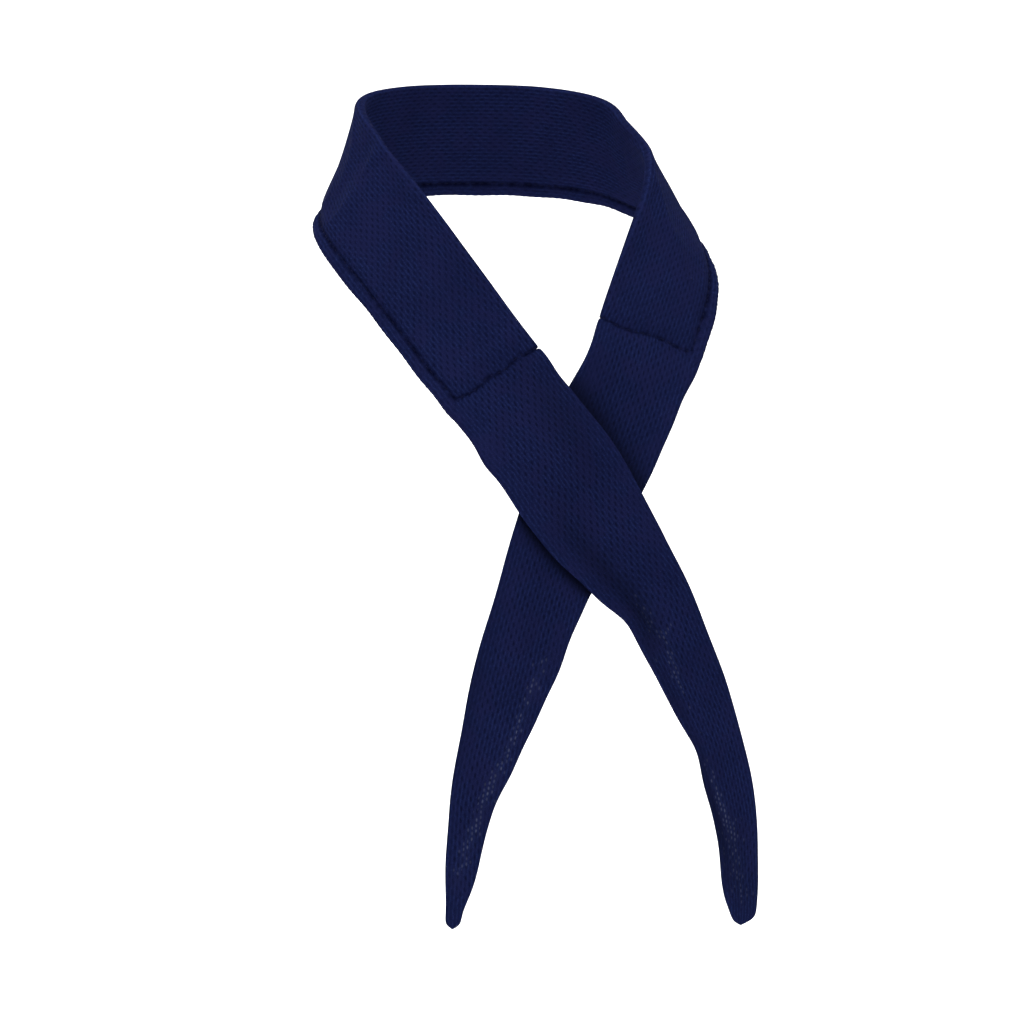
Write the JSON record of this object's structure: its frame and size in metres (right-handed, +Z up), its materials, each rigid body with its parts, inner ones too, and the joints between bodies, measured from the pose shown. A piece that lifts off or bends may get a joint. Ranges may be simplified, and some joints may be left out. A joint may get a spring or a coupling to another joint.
{
  "type": "cooling neck wrap",
  "caption": "Padded mesh-knit band that goes round a neck, crosses in front and hangs down in tapered tails, kept in its worn form.",
  "frame": {"origin": "middle of the band's inner face at the nape, where the wrap rests on the back of the neck", "axes": "+Z up, -Y towards the wearer's front, +X towards the wearer's left"},
  "size_m": [0.1761, 0.1929, 0.3568],
  "materials": {
    "navy_mesh": "navy blue eyelet mesh knit, matt with a faint sheen"
  },
  "bodies": {
    "root": {"neck_pad": "navy_mesh", "hem_lip": "navy_mesh", "over_tail": "navy_mesh", "under_tail": "navy_mesh"}
  },
  "joints": []
}
